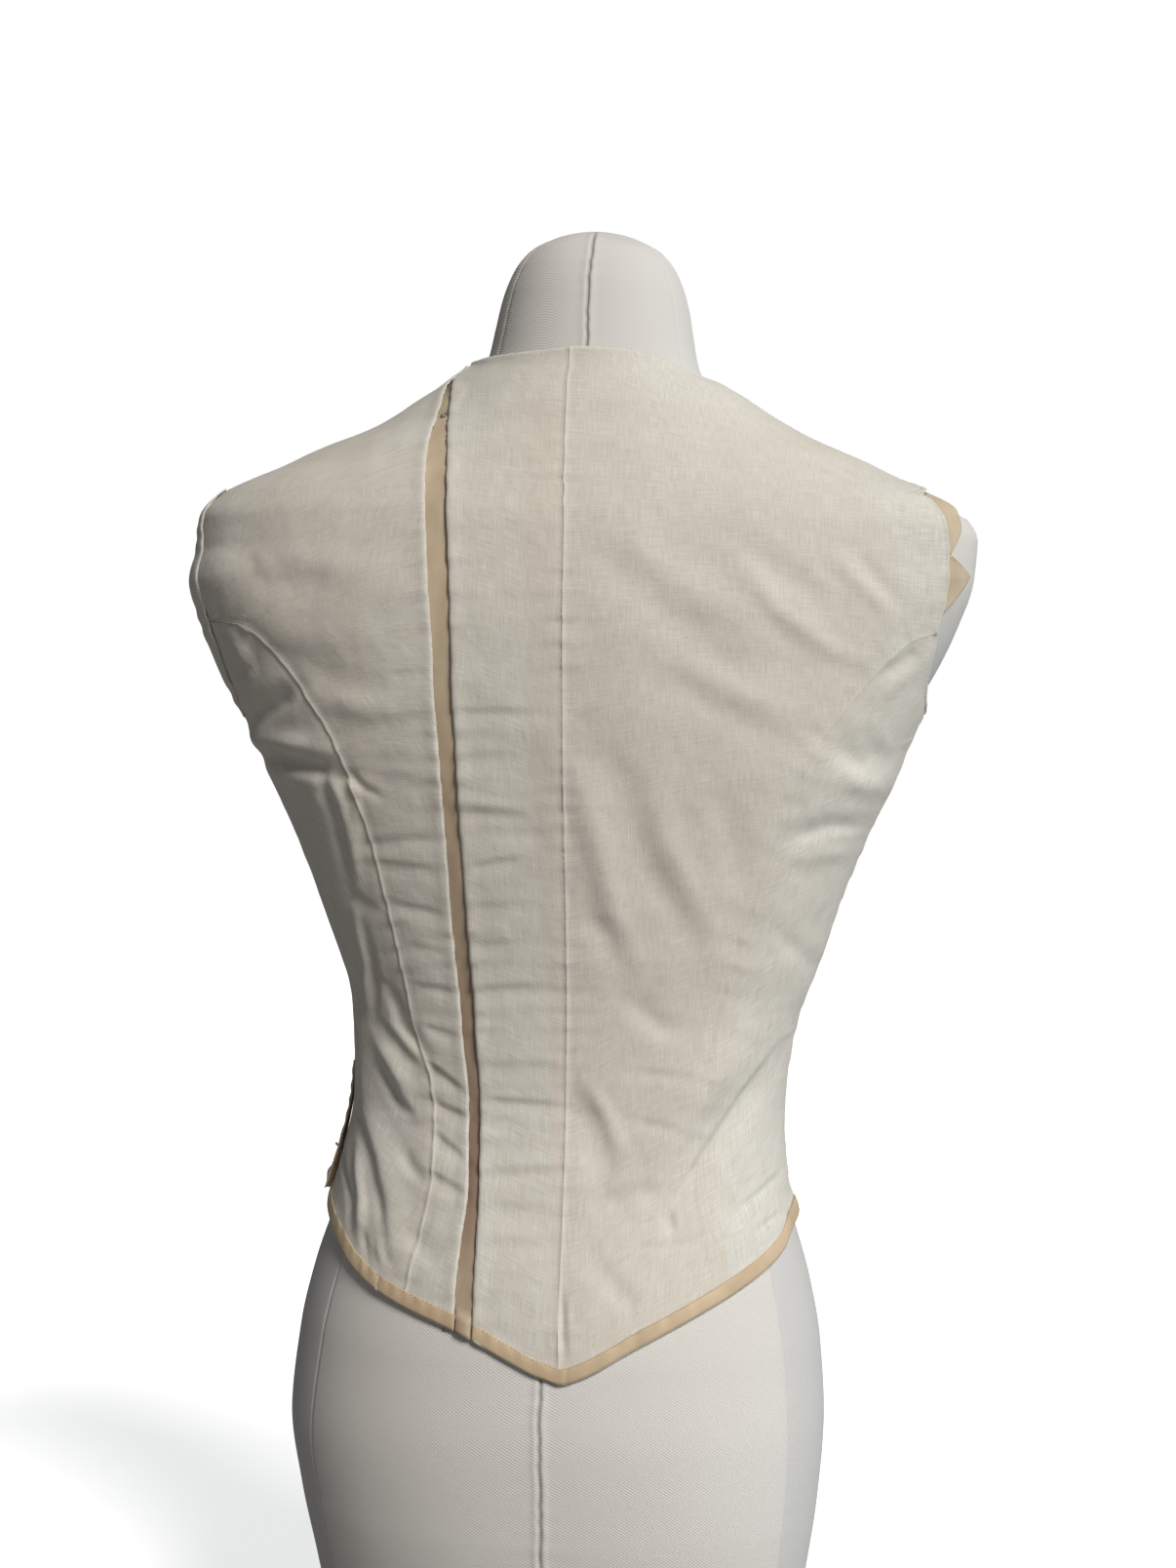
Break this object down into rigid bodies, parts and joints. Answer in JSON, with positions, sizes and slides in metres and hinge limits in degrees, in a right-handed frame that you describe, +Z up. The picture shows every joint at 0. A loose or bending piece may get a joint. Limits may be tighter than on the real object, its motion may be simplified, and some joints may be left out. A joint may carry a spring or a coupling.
{
  "type": "corset top on a limbless dress form",
  "caption": "Sleeveless fitted corset top of cream calico with tan bound edges and a narrow tan slot down the back, worn on a limbless cloth-covered dress form.",
  "frame": {"origin": "middle of the form's flat base", "axes": "+Z up the form, -Y towards the garment's back, +X towards the wearer's right"},
  "size_m": [0.4585, 0.2504, 0.862],
  "materials": {
    "calico": "matt plain-weave unbleached cotton",
    "tan_binding": "smooth tan cotton with a soft sheen",
    "form_twill": "matt fine twill cover",
    "metal": "dull nickel"
  },
  "bodies": {
    "root": {"dress_form": "form_twill", "back_left_side": "calico", "back_left": "calico", "back_centre": "calico", "back_right": "calico", "back_right_side": "calico", "front_right_side": "calico", "front_right": "calico", "front_left": "calico", "front_left_side": "calico", "placket_strip": "tan_binding", "hem_binding_left": "tan_binding", "hem_binding_right": "tan_binding", "hem_binding_front": "tan_binding", "side_opening_binding": "tan_binding", "armhole_trim_upper": "tan_binding", "armhole_trim_lower": "tan_binding", "snap": "metal", "side_hook_upper": "metal", "side_hook_lower": "metal"}
  },
  "joints": []
}
